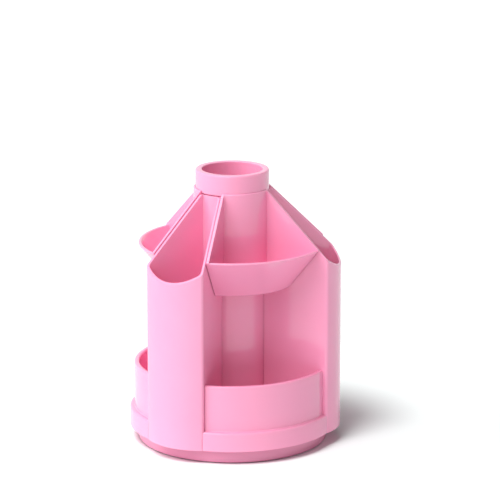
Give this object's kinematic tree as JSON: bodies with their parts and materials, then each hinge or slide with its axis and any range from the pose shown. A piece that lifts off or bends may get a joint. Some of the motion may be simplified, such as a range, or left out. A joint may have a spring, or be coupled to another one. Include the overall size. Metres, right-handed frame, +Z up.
{
  "type": "rotating pen holder",
  "caption": "Round rotating desk organiser: tall pen pockets with sloping mouths round a central tube, clip-in bins and open trays between them, on a turntable foot.",
  "frame": {"origin": "on the turning axis, on the underside of the non-slip disc, where the part meets the table", "axes": "+Z up along the turning axis; -Y is the front, where one recess with its bin and tray faces; +X is to the right seen from the front"},
  "size_m": [0.0968, 0.0994, 0.1296],
  "materials": {
    "pocket_plastic": "satin-gloss moulded pink",
    "bin_plastic": "satin-gloss moulded pink",
    "tray_plastic": "satin-gloss moulded pink",
    "tube_plastic": "satin-gloss moulded pink",
    "foot_plastic": "satin moulded pink, slightly duller than the body",
    "non_slip_foam": "matt closed-cell foam",
    "screw_steel": "zinc-plated steel"
  },
  "bodies": {
    "foot": {"foot_disc": "foot_plastic", "non_slip_disc": "non_slip_foam", "pivot_screw": "screw_steel", "pivot_washer": "screw_steel"},
    "carousel": {"lower_tray": "tray_plastic", "center_tube": "tube_plastic", "rear_pocket": "pocket_plastic", "front_left_pocket": "pocket_plastic", "front_right_pocket": "pocket_plastic", "left_bin": "bin_plastic", "front_bin": "bin_plastic", "right_bin": "bin_plastic", "pocket_screws": "screw_steel"}
  },
  "joints": [
    {"name": "carousel_spin", "type": "hinge", "parent": "foot", "child": "carousel", "pos_m": [0, 0, 0], "axis": [0, 0, 1], "continuous": true}
  ]
}
